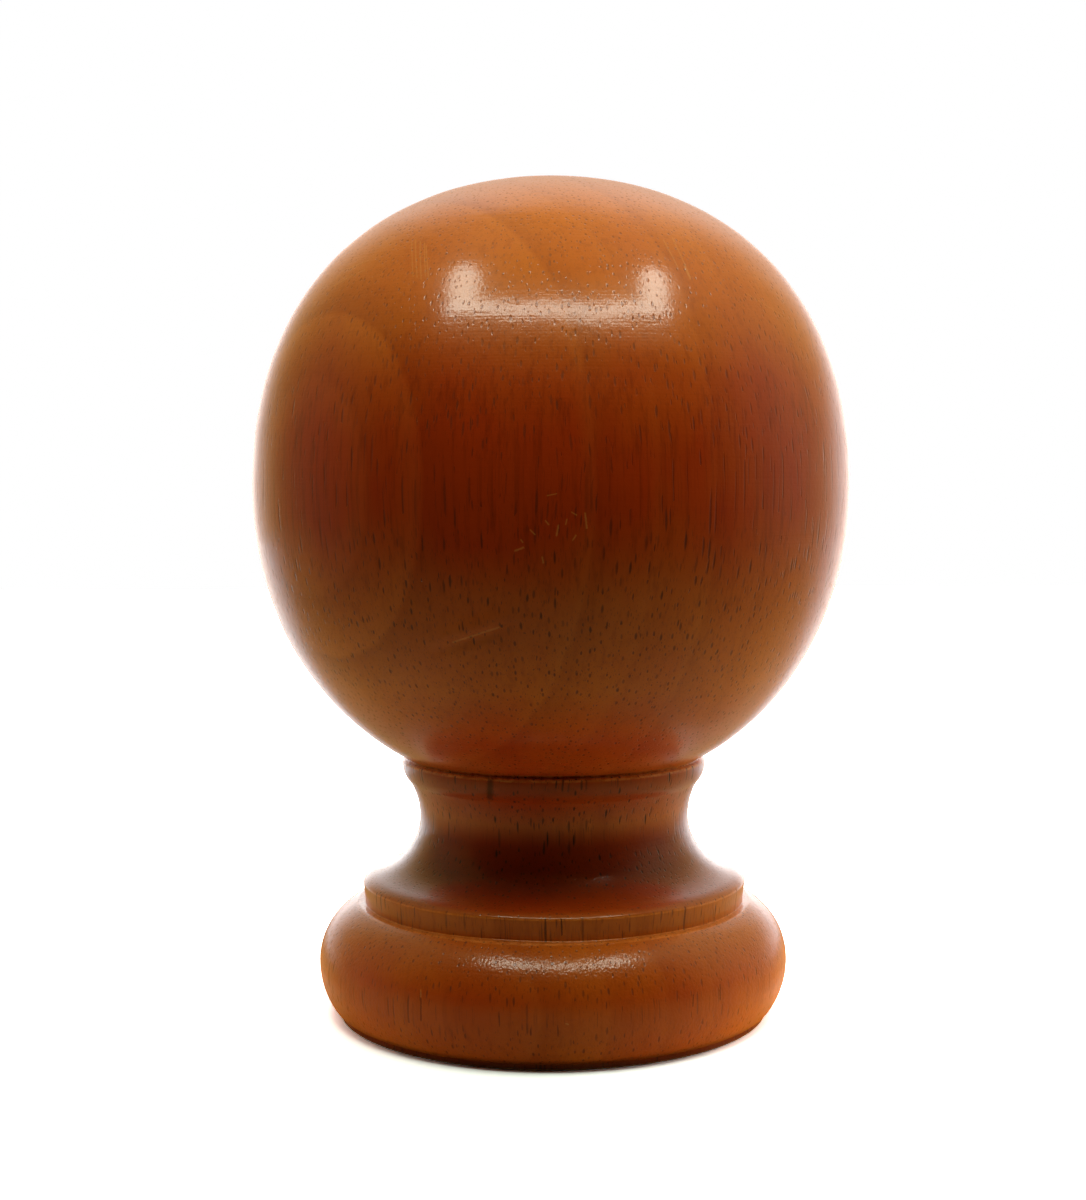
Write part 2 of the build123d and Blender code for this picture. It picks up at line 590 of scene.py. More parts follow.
class Graph:
    """Adds nodes to one node tree, left to right, and wires them."""

    def __init__(self, tree: bpy.types.NodeTree) -> None:
        """Starts on a node tree."""
        self.tree = tree
        self.column = 0

    def add(self, kind: str, **settings: object) -> bpy.types.Node:
        """Adds a node.

        Args:
            kind: Blender's name of the node type.
            **settings: The node's properties and their values.

        Returns:
            The node.
        """
        node = self.tree.nodes.new(kind)
        node.location = (self.column * 190, 0)
        self.column += 1
        for name, value in settings.items():
            setattr(node, name, value)
        return node

    def put(self, value: object, into: Socket) -> None:
        """Wires a socket to an input, or sets a plain value on it.

        Args:
            value: A socket or a plain value.
            into: The input.
        """
        if isinstance(value, Socket):
            self.tree.links.new(value, into)
        else:
            into.default_value = value

    def math(self, operation: str, *values: object, clamp: bool = False) -> Socket:
        """One number from others.

        Args:
            operation: Blender's name of the operation.
            *values: Sockets or plain numbers.
            clamp: Whether to hold the result between 0 and 1.

        Returns:
            The result.
        """
        node = self.add("ShaderNodeMath", operation=operation, use_clamp=clamp)
        for value, into in zip(values, node.inputs):
            self.put(value, into)
        return node.outputs[0]

    def vector(self, operation: str, *values: object) -> Socket:
        """One vector or its measure from others.

        Args:
            operation: Blender's name of the operation.
            *values: Sockets or plain vectors.

        Returns:
            The vector, or the number where the operation measures one.
        """
        node = self.add("ShaderNodeVectorMath", operation=operation)
        for value, into in zip(values, node.inputs):
            self.put(value, into)
        return node.outputs["Value" if operation in ("DOT_PRODUCT", "LENGTH", "DISTANCE") else "Vector"]

    def scaled(self, vector: Socket, scale: object) -> Socket:
        """A vector times a number.

        Args:
            vector: The vector.
            scale: A socket or a plain number.

        Returns:
            The longer or shorter vector.
        """
        node = self.add("ShaderNodeVectorMath", operation="SCALE")
        self.put(vector, node.inputs[0])
        self.put(scale, node.inputs["Scale"])
        return node.outputs["Vector"]

    def split(self, vector: Socket) -> tuple[Socket, Socket, Socket]:
        """The three parts of a vector.

        Args:
            vector: The vector.

        Returns:
            Its x, y and z.
        """
        node = self.add("ShaderNodeSeparateXYZ")
        self.put(vector, node.inputs[0])
        return node.outputs[0], node.outputs[1], node.outputs[2]

    def join(self, x: object, y: object, z: object) -> Socket:
        """A vector from three numbers.

        Args:
            x: First part.
            y: Second part.
            z: Third part.

        Returns:
            The vector.
        """
        node = self.add("ShaderNodeCombineXYZ")
        for value, into in zip((x, y, z), node.inputs):
            self.put(value, into)
        return node.outputs[0]

    def smooth(
        self, value: object, low: object, high: object, to_low: float = 0, to_high: float = 1
    ) -> Socket:
        """A number that goes smoothly from one level to another.

        Args:
            value: The number that it follows.
            low: Where the first level ends.
            high: Where the second level starts.
            to_low: The first level.
            to_high: The second level.

        Returns:
            The level.
        """
        node = self.add("ShaderNodeMapRange", interpolation_type="SMOOTHSTEP")
        for into, given in zip(node.inputs, (value, low, high, to_low, to_high)):
            self.put(given, into)
        return node.outputs[0]

    def noise(self, vector: Socket, scale: object, detail: float = 2, roughness: float = 0.5) -> Socket:
        """Noise of about 0 to 1.

        Args:
            vector: Where to take it.
            scale: How fine it is.
            detail: How many finer layers it has.
            roughness: How strong the finer layers are.

        Returns:
            The noise.
        """
        node = self.add("ShaderNodeTexNoise")
        self.put(vector, node.inputs["Vector"])
        self.put(scale, node.inputs["Scale"])
        node.inputs["Detail"].default_value = detail
        node.inputs["Roughness"].default_value = roughness
        return node.outputs["Fac"]

    def mix(self, share: object, first: object, second: object, blend: str = "MIX") -> Socket:
        """Mixes two colours.

        Args:
            share: How much of the second there is, 0 to 1.
            first: A socket or a plain colour.
            second: A socket or a plain colour.
            blend: Blender's name of the blend type.

        Returns:
            The mixed colour.
        """
        node = self.add("ShaderNodeMix", data_type="RGBA", blend_type=blend)
        self.put(share, node.inputs["Factor"])
        for name, value in (("A", first), ("B", second)):
            colour = (*value, 1) if isinstance(value, tuple) and len(value) == 3 else value
            self.put(colour, next(s for s in node.inputs if s.name == name and s.type == "RGBA"))
        return next(s for s in node.outputs if s.type == "RGBA")

    def ramp(self, value: Socket, stops: Sequence[tuple[float, float]]) -> Socket:
        """A number that follows straight lines between stops.

        Args:
            value: The number that it follows, 0 to 1.
            stops: Pairs of place and level.

        Returns:
            The level.
        """
        node = self.add("ShaderNodeValToRGB")
        elements = node.color_ramp.elements
        while len(elements) > 1:
            elements.remove(elements[-1])
        for index, (place, level) in enumerate(stops):
            element = elements[0] if index == 0 else elements.new(place)
            element.position = place
            element.color = (level, level, level, 1)
        self.put(value, node.inputs[0])
        return node.outputs["Color"]

    def place(self, group: bpy.types.NodeTree, **values: object) -> bpy.types.Node:
        """Places a node group and gives its inputs their values.

        Args:
            group: The group's node tree.
            **values: Inputs by name, each a socket or a plain value.

        Returns:
            The group's node.
        """
        node = self.add("ShaderNodeGroup", node_tree=group)
        for name, value in values.items():
            self.put(value, node.inputs[name.replace("_", " ")])
        return node

    def bearing(self, x: Socket, y: Socket) -> Socket:
        """Degrees round the turning axis.

        Args:
            x: Way to the right of the axis.
            y: Way behind the axis.

        Returns:
            The degrees from the front, positive to the right.
        """
        angle = self.math("ARCTAN2", x, self.math("MULTIPLY", y, -1.0))
        return self.math("MULTIPLY", angle, 180 / math.pi)

    def end_with(self, shader: bpy.types.Node, output: str = "ShaderNodeOutputMaterial") -> None:
        """Wires a shader to the tree's output, of a material or of a world."""
        self.put(shader.outputs[0], self.add(output).inputs["Surface"])


def new_material(name: str) -> tuple[bpy.types.Material, Graph]:
    """Makes a material with an empty node tree.

    Args:
        name: The material's name.

    Returns:
        The material and the graph that fills its tree.
    """
    made = bpy.data.materials.new(name)
    made.use_nodes = True
    made.node_tree.nodes.clear()
    return made, Graph(made.node_tree)


class Effect:
    """A shader node group, built once and placed wherever a material needs it."""

    name = "effect"
    inputs: tuple[tuple[str, str, object], ...] = ()
    outputs: tuple[tuple[str, str], ...] = ()

    def tree(self) -> bpy.types.NodeTree:
        """The group's node tree, made the first time that it is asked for.

        Returns:
            The tree.
        """
        if self.name in bpy.data.node_groups:
            return bpy.data.node_groups[self.name]
        tree = bpy.data.node_groups.new(self.name, "ShaderNodeTree")
        for name, kind, value in self.inputs:
            socket = tree.interface.new_socket(name=name, in_out="INPUT", socket_type=kind)
            if value is not None:
                socket.default_value = value
        for name, kind in self.outputs:
            tree.interface.new_socket(name=name, in_out="OUTPUT", socket_type=kind)
        graph = Graph(tree)
        given = graph.add("NodeGroupInput").outputs
        results = self.wire(graph, given)
        out = graph.add("NodeGroupOutput")
        for value, into in zip(results, out.inputs):
            graph.put(value, into)
        return tree

    def wire(self, graph: Graph, given: bpy.types.bpy_prop_collection) -> Sequence[Socket]:
        """Wires the group.

        Args:
            graph: The group's own graph.
            given: The group's inputs by name.

        Returns:
            The group's results, in the outputs' order.
        """
        raise NotImplementedError


FLOAT, VECTOR = "NodeSocketFloat", "NodeSocketVector"


class SurfaceMap(Effect):
    """Millimetre coordinates: the place itself, the way round from the front, and the height."""

    name = "Surface map"
    inputs = (("Place", VECTOR, None),)
    outputs = (("Place mm", VECTOR), ("Across", FLOAT), ("Up", FLOAT))

    def wire(self, graph: Graph, given: bpy.types.bpy_prop_collection) -> Sequence[Socket]:
        """Scales the place to millimetres and unrolls it about the turning axis.

        Args:
            graph: The group's own graph.
            given: The group's inputs by name.

        Returns:
            The place, the way round from the front and the height.
        """
        place = graph.scaled(given["Place"], 1 / MM)
        x, y, z = graph.split(place)
        angle = graph.math("ARCTAN2", x, graph.math("MULTIPLY", y, -1.0))
        radius = graph.vector("LENGTH", graph.join(x, y, 0.0))
        return place, graph.math("MULTIPLY", angle, radius), z


class Pores(Effect):
    """Open vessels of the wood: long dashes where the surface runs with the grain, dots across it."""

    name = "Wood pores"
    inputs = (
        ("Place", VECTOR, None), ("Spacing", FLOAT, 1.1), ("Length", FLOAT, 8.0),
        ("Radius", FLOAT, 0.14), ("Share", FLOAT, 0.8),
    )
    outputs = (("Mask", FLOAT),)
    sway_scale = 0.05
    sway_reach = (2.2, 2.2, 0.0)

    def wire(self, graph: Graph, given: bpy.types.bpy_prop_collection) -> Sequence[Socket]:
        """Finds the nearest vessel and how far off its own line the place lies.

        Args:
            graph: The group's own graph.
            given: The group's inputs by name.

        Returns:
            The mask, 1 in the middle of a deep vessel.
        """
        sway = graph.add("ShaderNodeTexNoise")
        graph.put(graph.scaled(given["Place"], self.sway_scale), sway.inputs["Vector"])
        sway.inputs["Scale"].default_value = 1.0
        offset = graph.vector("MULTIPLY", sway.outputs["Color"], self.sway_reach)
        x, y, z = graph.split(graph.vector("ADD", given["Place"], offset))
        cell = graph.join(
            graph.math("DIVIDE", x, given["Spacing"]),
            graph.math("DIVIDE", y, given["Spacing"]),
            graph.math("DIVIDE", z, given["Length"]),
        )
        vessels = graph.add("ShaderNodeTexVoronoi", voronoi_dimensions="3D", feature="F1")
        graph.put(cell, vessels.inputs["Vector"])
        vessels.inputs["Scale"].default_value = 1.0
        away = graph.vector("SUBTRACT", cell, vessels.outputs["Position"])
        flat = graph.vector("MULTIPLY", away, (1.0, 1.0, 0.0))
        distance = graph.math("MULTIPLY", graph.vector("LENGTH", flat), given["Spacing"])
        red, green, blue = graph.split(vessels.outputs["Color"])
        radius = graph.math("MULTIPLY", given["Radius"], graph.math("MULTIPLY_ADD", red, 0.9, 0.45))
        inside = graph.smooth(distance, radius, graph.math("MULTIPLY", radius, 0.4))
        present = graph.math("LESS_THAN", green, given["Share"])
        depth = graph.math("MULTIPLY_ADD", blue, 0.6, 0.4)
        return [graph.math("MULTIPLY", graph.math("MULTIPLY", inside, present), depth)]


class Fibre(Effect):
    """Fine streaks and soft clouds that run with the grain, about 0 to 1."""

    name = "Wood fibre"
    inputs = (("Place", VECTOR, None), ("Fineness", FLOAT, 2.0), ("Stretch", FLOAT, 0.05))
    outputs = (("Streak", FLOAT),)

    def wire(self, graph: Graph, given: bpy.types.bpy_prop_collection) -> Sequence[Socket]:
        """Squeezes the noise along the grain.

        Args:
            graph: The group's own graph.
            given: The group's inputs by name.

        Returns:
            The streak.
        """
        x, y, z = graph.split(given["Place"])
        squeezed = graph.join(x, y, graph.math("MULTIPLY", z, given["Stretch"]))
        return [graph.noise(squeezed, given["Fineness"], 3.0, 0.6)]


class GrowthRings(Effect):
    """Bands of late wood: dark on one side of each ring's line, then fading to the next."""

    name = "Growth rings"
    inputs = (("Place", VECTOR, None), ("Wander", FLOAT, 1.6))
    outputs = (("Late wood", FLOAT), ("Pale line", FLOAT))
    outward = (-0.77, -0.64, 0.0)
    lines = (
        (-38.0, 0.3), (-24.0, 0.5), (-11.0, 0.25), (0.5, 0.3), (10.4, 0.5),
        (20.5, 0.3), (30.5, 0.7), (40.5, 0.15), (50.3, 1.0), (54.7, 0.7),
    )
    reach = 64.0
    dark_start, dark_end, pale_start, pale_end = -4.5, -0.2, 0.4, 2.5
    early_level = 0.1

    def wire(self, graph: Graph, given: bpy.types.bpy_prop_collection) -> Sequence[Socket]:
        """Measures outward from the pith's side and looks the distance up among the lines.

        Args:
            graph: The group's own graph.
            given: The group's inputs by name.

        Returns:
            The late wood and the pale line beside it.
        """
        distance = graph.vector("DOT_PRODUCT", given["Place"], self.outward)
        x, y, z = graph.split(given["Place"])
        wavy = graph.noise(graph.join(x, y, graph.math("MULTIPLY", z, 0.35)), 0.035, 2.0)
        wander = graph.math("MULTIPLY", graph.math("SUBTRACT", wavy, 0.5), given["Wander"])
        distance = graph.math("ADD", distance, wander)
        share = graph.math("MULTIPLY_ADD", distance, 0.5 / self.reach, 0.5)
        dark, pale = [(0.0, 0.2)], [(0.0, 0.0)]
        for line, strength in self.lines:
            steps = (self.dark_start, self.dark_end, self.pale_start, self.pale_end)
            at = [0.5 + 0.5 * (line + step) / self.reach for step in steps]
            dark += [(at[0], self.early_level), (at[1], strength), (at[2], 0.0)]
            pale += [(at[1], 0.0), (at[2], strength), (at[3], 0.0)]
        return graph.ramp(share, dark), graph.ramp(share, pale)


class TurningLines(Effect):
    """Height of the fine rings that sanding in the lathe leaves, in millimetres."""

    name = "Turning lines"
    inputs = (("Place", VECTOR, None), ("Pitch", FLOAT, 0.45), ("Height", FLOAT, 0.004))
    outputs = (("Height", FLOAT),)

    def wire(self, graph: Graph, given: bpy.types.bpy_prop_collection) -> Sequence[Socket]:
        """Noise that changes fast with height and slowly round the axis.

        Args:
            graph: The group's own graph.
            given: The group's inputs by name.

        Returns:
            The height.
        """
        x, y, z = graph.split(given["Place"])
        rings = graph.join(
            graph.math("MULTIPLY", x, 0.02), graph.math("MULTIPLY", y, 0.02),
            graph.math("DIVIDE", z, given["Pitch"]),
        )
        level = graph.noise(rings, 1.0, 1.0)
        return [graph.math("MULTIPLY", graph.math("SUBTRACT", level, 0.5), given["Height"])]


class OrangePeel(Effect):
    """Height of the varnish's soft dimples, in millimetres."""

    name = "Orange peel"
    inputs = (("Place", VECTOR, None), ("Pitch", FLOAT, 1.6), ("Height", FLOAT, 0.01))
    outputs = (("Height", FLOAT),)

    def wire(self, graph: Graph, given: bpy.types.bpy_prop_collection) -> Sequence[Socket]:
        """Even noise of the given pitch.

        Args:
            graph: The group's own graph.
            given: The group's inputs by name.

        Returns:
            The height.
        """
        scale = graph.math("DIVIDE", 1.0, given["Pitch"])
        level = graph.noise(given["Place"], scale, 2.0, 0.45)
        return [graph.math("MULTIPLY", graph.math("SUBTRACT", level, 0.5), given["Height"])]


class LineMark(Effect):
    """A narrow mark along a straight line on the unrolled surface, 1 on the line."""

    name = "Line mark"
    inputs = (
        ("Across", FLOAT, 0.0), ("Up", FLOAT, 0.0), ("Start", VECTOR, (0, 0, 0)),
        ("End", VECTOR, (1, 0, 0)), ("Width", FLOAT, 0.3), ("Rough", FLOAT, 0.5),
    )
    outputs = (("Mask", FLOAT),)

    def wire(self, graph: Graph, given: bpy.types.bpy_prop_collection) -> Sequence[Socket]:
        """Distance to the nearest point of the line, broken up a little by noise.

        Args:
            graph: The group's own graph.
            given: The group's inputs by name.

        Returns:
            The mask.
        """
        here = graph.join(given["Across"], given["Up"], 0.0)
        run = graph.vector("SUBTRACT", given["End"], given["Start"])
        rise = graph.vector("SUBTRACT", here, given["Start"])
        ahead = graph.vector("DOT_PRODUCT", rise, run)
        share = graph.math("DIVIDE", ahead, graph.vector("DOT_PRODUCT", run, run), clamp=True)
        distance = graph.vector("DISTANCE", rise, graph.scaled(run, share))
        ragged = graph.noise(here, 3.0, 2.0)
        ragged = graph.math("MULTIPLY", graph.math("SUBTRACT", ragged, 0.5), given["Rough"])
        width = graph.math("MULTIPLY", given["Width"], graph.math("ADD", 0.6, ragged))
        return [graph.smooth(distance, width, graph.math("MULTIPLY", width, 0.25))]


# Finishes


@dataclass(frozen=True)
class VarnishedWood:
    """Orange-brown stained wood with open pores under a semi-gloss varnish."""

    section: TurnedSection
    height: float = 160.0
    # Painted light and shade: the golden colour stands for the wood where light falls on it, the deep red
    # one for the same wood in shade.
    lit_golden: Colour = (0.74, 0.185, 0.006)
    shaded_red: Colour = (0.50, 0.04, 0.0015)
    late: Colour = (0.22, 0.02, 0.001)
    pore: Colour = (0.05, 0.008, 0.001)
    # Colour of the painted shade in the neck hollow, at the collar's root and on the foot.
    hollow: Colour = (0.24, 0.024, 0.001)
    bare: Colour = (0.8, 0.32, 0.06)
    # Pale rubbed wood on the edges, which also serves as painted glint on the ledge and rim and as painted
    # light on the collar's shaded top edge.
    worn_and_glint: Colour = (0.95, 0.3, 0.05)
    # Painted light and shade by height: golden on the lit crown, lower ball and bead, deep red in the
    # shaded middle of the ball and in the neck, and a golden line on the collar's shaded top edge.
    painted_light_tones: tuple[Point, ...] = (
        (0, 0.5), (7, 0.45), (13, 0.25), (18, 0.5), (22, 0.75), (26, 0.7), (27, 0.1), (36, 0.0),
        (40, 0.45), (44, 0.1), (48.8, 0.2), (49.2, 0.9), (50, 0.1), (57, 0.12), (67, 0.62),
        (77, 0.5), (84, 0.38), (92, 0.12), (98, 0.0), (110, 0.05), (120, 0.2), (129, 0.6),
        (144, 0.76), (153, 1.0), (160, 1.0),
    )
    # Painted shade by height over the lower 60 mm: dark on the recessed foot, in the neck hollow under the
    # flare and at the collar's root and side, where shade falls.
    painted_shade: tuple[Point, ...] = (
        (0.0, 0.95), (0.02, 0.7), (0.04, 0.0), (0.43, 0.15), (0.455, 0.6), (0.51, 0.8), (0.6, 0.7),
        (0.65, 0.2), (0.68, 0.0), (0.74, 0.1), (0.765, 0.5), (0.805, 0.45), (0.818, 0.0), (0.85, 0.0),
    )
    painted_shade_top: float = 60.0
    openness: tuple[Point, ...] = (
        (0, 0.6), (20, 0.6), (22, 0.75), (28, 0.8), (36, 1.0), (49, 1.0), (56, 0.75), (88, 0.75),
        (98, 0.6), (112, 0.55), (128, 0.5), (160, 0.45),
    )
    # Rubbed edges at the ledge, the rim and the collar's top, which are also painted glint lines on the
    # ledge and rim and painted light against the shade on the collar's top edge.
    worn_and_glint_edges: tuple[tuple[float, float, float], ...] = (
        (21.65, 0.3, 0.55), (25.6, 0.22, 0.5), (49.35, 0.8, 0.9),
    )
    cloud_range: Point = (0.3, 0.75)
    cloud_depth: float = 0.12
    streak_range: Point = (0.46, 0.74)
    streak_depth: float = 0.5
    streak_calm: float = 0.45
    belly_fade: Point = (78, 96)
    crown_fade: Point = (132, 112)
    late_depth: float = 0.3
    pale_depth: float = 0.06
    stain_depth: float = 0.7
    scratch_depth: float = 0.3
    fleck_depth: float = 0.36
    raggedness: float = 0.9
    fine_share: float = 0.55
    pore_roughness: float = 0.25
    pore_sink: float = -0.03
    base_grit: float = 4.0
    ball_grit: float = 1.2
    grit_fade: Point = (21.0, 23.0)
    roughness: float = 0.31
    base_gloss: float = 0.4
    gloss_tint: Colour = (0.85, 0.8, 0.4)
    glow: float = 0.8
    glow_tint: Colour = (1.0, 0.3, 0.015)
    glow_roughness: float = 0.3
    coat: float = 1.0
    coat_roughness: float = 0.145

    def _wear(self, graph: Graph, surface: bpy.types.Node, kind: MarkKind) -> Socket:
        """All marks of one kind in one mask.

        Args:
            graph: The material's graph.
            surface: The surface map's node.
            kind: The kind of mark.

        Returns:
            The mask.
        """
        total: Socket | None = None
        for mark in WEAR:
            if mark.kind is not kind:
                continue
            ends = [
                (math.radians(a) * self.section.radius_at(z), z, 0.0) for a, z in (mark.start, mark.end)
            ]
            placed = graph.place(
                LineMark().tree(), Across=surface.outputs["Across"], Up=surface.outputs["Up"],
                Start=ends[0], End=ends[1], Width=mark.width, Rough=self.raggedness,
            )
            mask = placed.outputs["Mask"]
            total = mask if total is None else graph.math("MAXIMUM", total, mask)
        return total

    def _colour(self, graph: Graph, surface: bpy.types.Node, pores: Socket) -> Socket:
        """Base colour: stain clouds, streaks, growth rings, pores and wear. Light and shade are painted in
        by height, with painted shade in the hollows and on the foot, and painted glints on the edges and
        the crease.

        Args:
            graph: The material's graph.
            surface: The surface map's node.
            pores: Mask of the open pores.

        Returns:
            The colour.
        """
        place = surface.outputs["Place mm"]
        cloud = graph.place(Fibre().tree(), Place=place, Fineness=0.045, Stretch=0.5).outputs["Streak"]
        streak = graph.place(Fibre().tree(), Place=place, Fineness=1.1, Stretch=0.035).outputs["Streak"]
        rings = graph.place(GrowthRings().tree(), Place=place, Wander=1.2)
        up = surface.outputs["Up"]
        share_up = graph.math("DIVIDE", up, self.height)
        # Painted light and shade by height, to which the stain's random clouds are added.
        painted_light_and_stain = graph.ramp(share_up, self._stops(self.painted_light_tones))
        clouds = graph.smooth(cloud, *self.cloud_range, -self.cloud_depth, self.cloud_depth)
        painted_light_and_stain = graph.math("ADD", painted_light_and_stain, clouds, clamp=True)
        body = graph.mix(painted_light_and_stain, self.shaded_red, self.lit_golden)
        streaks = graph.smooth(streak, *self.streak_range, 0, self.streak_depth)
        over_belly = graph.smooth(up, *self.belly_fade, self.streak_calm, 1)
        under_crown = graph.smooth(up, *self.crown_fade, self.streak_calm, 1)
        equator = graph.math("MULTIPLY", over_belly, under_crown)
        # Painted shade in the hollows and on the foot.
        painted_shade = graph.ramp(graph.math("DIVIDE", up, self.painted_shade_top), self.painted_shade)
        openness = graph.ramp(share_up, self._stops(self.openness))
        layers = (
            (streaks, equator, self.late),
            (rings.outputs["Late wood"], self.late_depth, self.late),
            (rings.outputs["Pale line"], self.pale_depth, self.bare),
            (painted_shade, None, self.hollow),
            (self._worn_and_glint_edges(graph, surface), None, self.worn_and_glint),
            (pores, openness, self.pore),
            (self._wear(graph, surface, MarkKind.STAIN), self.stain_depth, self.pore),
            (self._wear(graph, surface, MarkKind.SCRATCH), self.scratch_depth, self.bare),
            (self._wear(graph, surface, MarkKind.FLECK), self.fleck_depth, self.bare),
        )
        for mask, depth, colour in layers:
            share = mask if depth is None else graph.math("MULTIPLY", mask, depth)
            body = graph.mix(share, body, colour)
        return body

    def _stops(self, levels: Levels) -> list[Point]:
        """Stops of a ramp over the finial's height, from levels at heights in millimetres."""
        return [(z / self.height, level) for z, level in levels]

    def _worn_and_glint_edges(self, graph: Graph, surface: bpy.types.Node) -> Socket:
        """Where handling has rubbed the stain off the sharp edges, with painted glint lines along the
        ledge and the rim and painted light on the collar's shaded top edge, broken up along each edge.

        Args:
            graph: The material's graph.
            surface: The surface map's node.

        Returns:
            The mask.
        """
        doubled_up = graph.math("MULTIPLY", surface.outputs["Up"], 2.0)
        along = graph.join(surface.outputs["Across"], doubled_up, 0.0)
        patches = graph.smooth(graph.noise(along, 0.8, 3.0, 0.6), 0.4, 0.6, 0.35, 1.0)
        total = None
        for height, reach, strength in self.worn_and_glint_edges:
            off = graph.math("ABSOLUTE", graph.math("SUBTRACT", surface.outputs["Up"], height))
            edge = graph.smooth(off, reach, reach * 0.3, 0, strength)
            total = edge if total is None else graph.math("MAXIMUM", total, edge)
        return graph.math("MULTIPLY", total, patches)

    def material(self) -> bpy.types.Material:
        """Makes the material.

        Returns:
            The varnished wood.
        """
        made, graph = new_material("varnished_wood")
        place = graph.add("ShaderNodeTexCoord").outputs["Object"]
        surface = graph.place(SurfaceMap().tree(), Place=place)
        here = surface.outputs["Place mm"]
        coarse = graph.place(
            Pores().tree(), Place=here, Spacing=1.1, Length=7.0, Radius=0.24, Share=0.75
        ).outputs["Mask"]
        fine = graph.place(
            Pores().tree(), Place=here, Spacing=0.5, Length=5.0, Radius=0.09, Share=0.85
        ).outputs["Mask"]
        pores = graph.math("MAXIMUM", coarse, graph.math("MULTIPLY", fine, self.fine_share))
        colour = self._colour(graph, surface, pores)

        lines = graph.place(TurningLines().tree(), Place=here, Pitch=0.42, Height=0.016).outputs["Height"]
        peel = graph.place(OrangePeel().tree(), Place=here, Pitch=1.5, Height=0.016).outputs["Height"]
        grit = graph.place(OrangePeel().tree(), Place=here, Pitch=0.5, Height=0.016).outputs["Height"]
        rougher = graph.smooth(
            surface.outputs["Up"], *self.grit_fade, self.base_grit, self.ball_grit
        )
        height = graph.math("MULTIPLY_ADD", grit, rougher, graph.math("ADD", lines, peel))
        height = graph.math("MULTIPLY_ADD", coarse, self.pore_sink, height)
        bump = graph.add("ShaderNodeBump")
        bump.inputs["Strength"].default_value = 1.0
        bump.inputs["Distance"].default_value = MM
        graph.put(height, bump.inputs["Height"])

        shader = graph.add("ShaderNodeBsdfPrincipled")
        graph.put(colour, shader.inputs["Base Color"])
        rough = graph.math("MULTIPLY_ADD", pores, self.pore_roughness, self.roughness)
        graph.put(rough, shader.inputs["Roughness"])
        graph.put(bump.outputs[0], shader.inputs["Normal"])
        graph.put(bump.outputs[0], shader.inputs["Coat Normal"])
        constants = {
            "IOR": 1.5,
            "Specular IOR Level": self.base_gloss,
            "Specular Tint": (*self.gloss_tint, 1),
            "Sheen Weight": self.glow,
            "Sheen Roughness": self.glow_roughness,
            "Sheen Tint": (*self.glow_tint, 1),
            "Coat Weight": self.coat,
            "Coat Roughness": self.coat_roughness,
        }
        for name, value in constants.items():
            shader.inputs[name].default_value = value
        graph.end_with(shader)
        return made


@dataclass(frozen=True)
class RawWood:
    """Sanded wood without stain or varnish, on the underside and in the hole."""

    light: Colour = srgb(196, 146, 96)
    dark: Colour = srgb(150, 98, 58)
    pore: Colour = srgb(84, 50, 30)
    late_depth: float = 0.5
    pore_sink: float = -0.06
    roughness: float = 0.72

    def material(self) -> bpy.types.Material:
        """Makes the material.

        Returns:
            The raw wood.
        """
        made, graph = new_material("raw_wood")
        place = graph.add("ShaderNodeTexCoord").outputs["Object"]
        here = graph.place(SurfaceMap().tree(), Place=place).outputs["Place mm"]
        pores = graph.place(
            Pores().tree(), Place=here, Spacing=1.05, Length=9.0, Radius=0.15, Share=0.85
        ).outputs["Mask"]
        streak = graph.place(Fibre().tree(), Place=here, Fineness=1.1, Stretch=0.035).outputs["Streak"]
        rings = graph.place(GrowthRings().tree(), Place=here, Wander=3.0).outputs["Late wood"]
        body = graph.mix(graph.smooth(streak, 0.3, 0.75), self.light, self.dark)
        body = graph.mix(graph.math("MULTIPLY", rings, self.late_depth), body, self.dark)
        body = graph.mix(pores, body, self.pore)
        bump = graph.add("ShaderNodeBump")
        bump.inputs["Distance"].default_value = MM
        graph.put(graph.math("MULTIPLY", pores, self.pore_sink), bump.inputs["Height"])
        shader = graph.add("ShaderNodeBsdfPrincipled")
        graph.put(body, shader.inputs["Base Color"])
        shader.inputs["Roughness"].default_value = self.roughness
        graph.put(bump.outputs[0], shader.inputs["Normal"])
        graph.end_with(shader)
        return made


# Studio


@dataclass(frozen=True)
class SoftBox:
    """A soft lamp: a flat panel, high over the finial's front, that shines down."""

    name: str
    place: tuple[float, float, float]
    width: float
    depth: float
    radiance: float
    swing: float
    colour: Colour = (0.86, 0.9, 0.8)

    def build(self) -> bpy.types.Object:
        """Makes the lamp, which faces down and is swung round the upright axis.

        Returns:
            The lamp.
        """
        lamp = bpy.data.lights.new(self.name, "AREA")
        round_panel = self.depth > self.width
        lamp.shape = "ELLIPSE" if round_panel else "RECTANGLE"
        lamp.color = self.colour
        lamp.size, lamp.size_y = self.width * MM, self.depth * MM
        filled = math.pi / 4 if round_panel else 1
        lamp.energy = self.radiance * math.pi * lamp.size * lamp.size_y * filled
        made = bpy.data.objects.new(self.name, lamp)
        made.location = Vector(self.place) * MM
        made.rotation_euler = (0, 0, math.radians(self.swing))
        made.visible_camera = False
        bpy.context.scene.collection.objects.link(made)
        return made


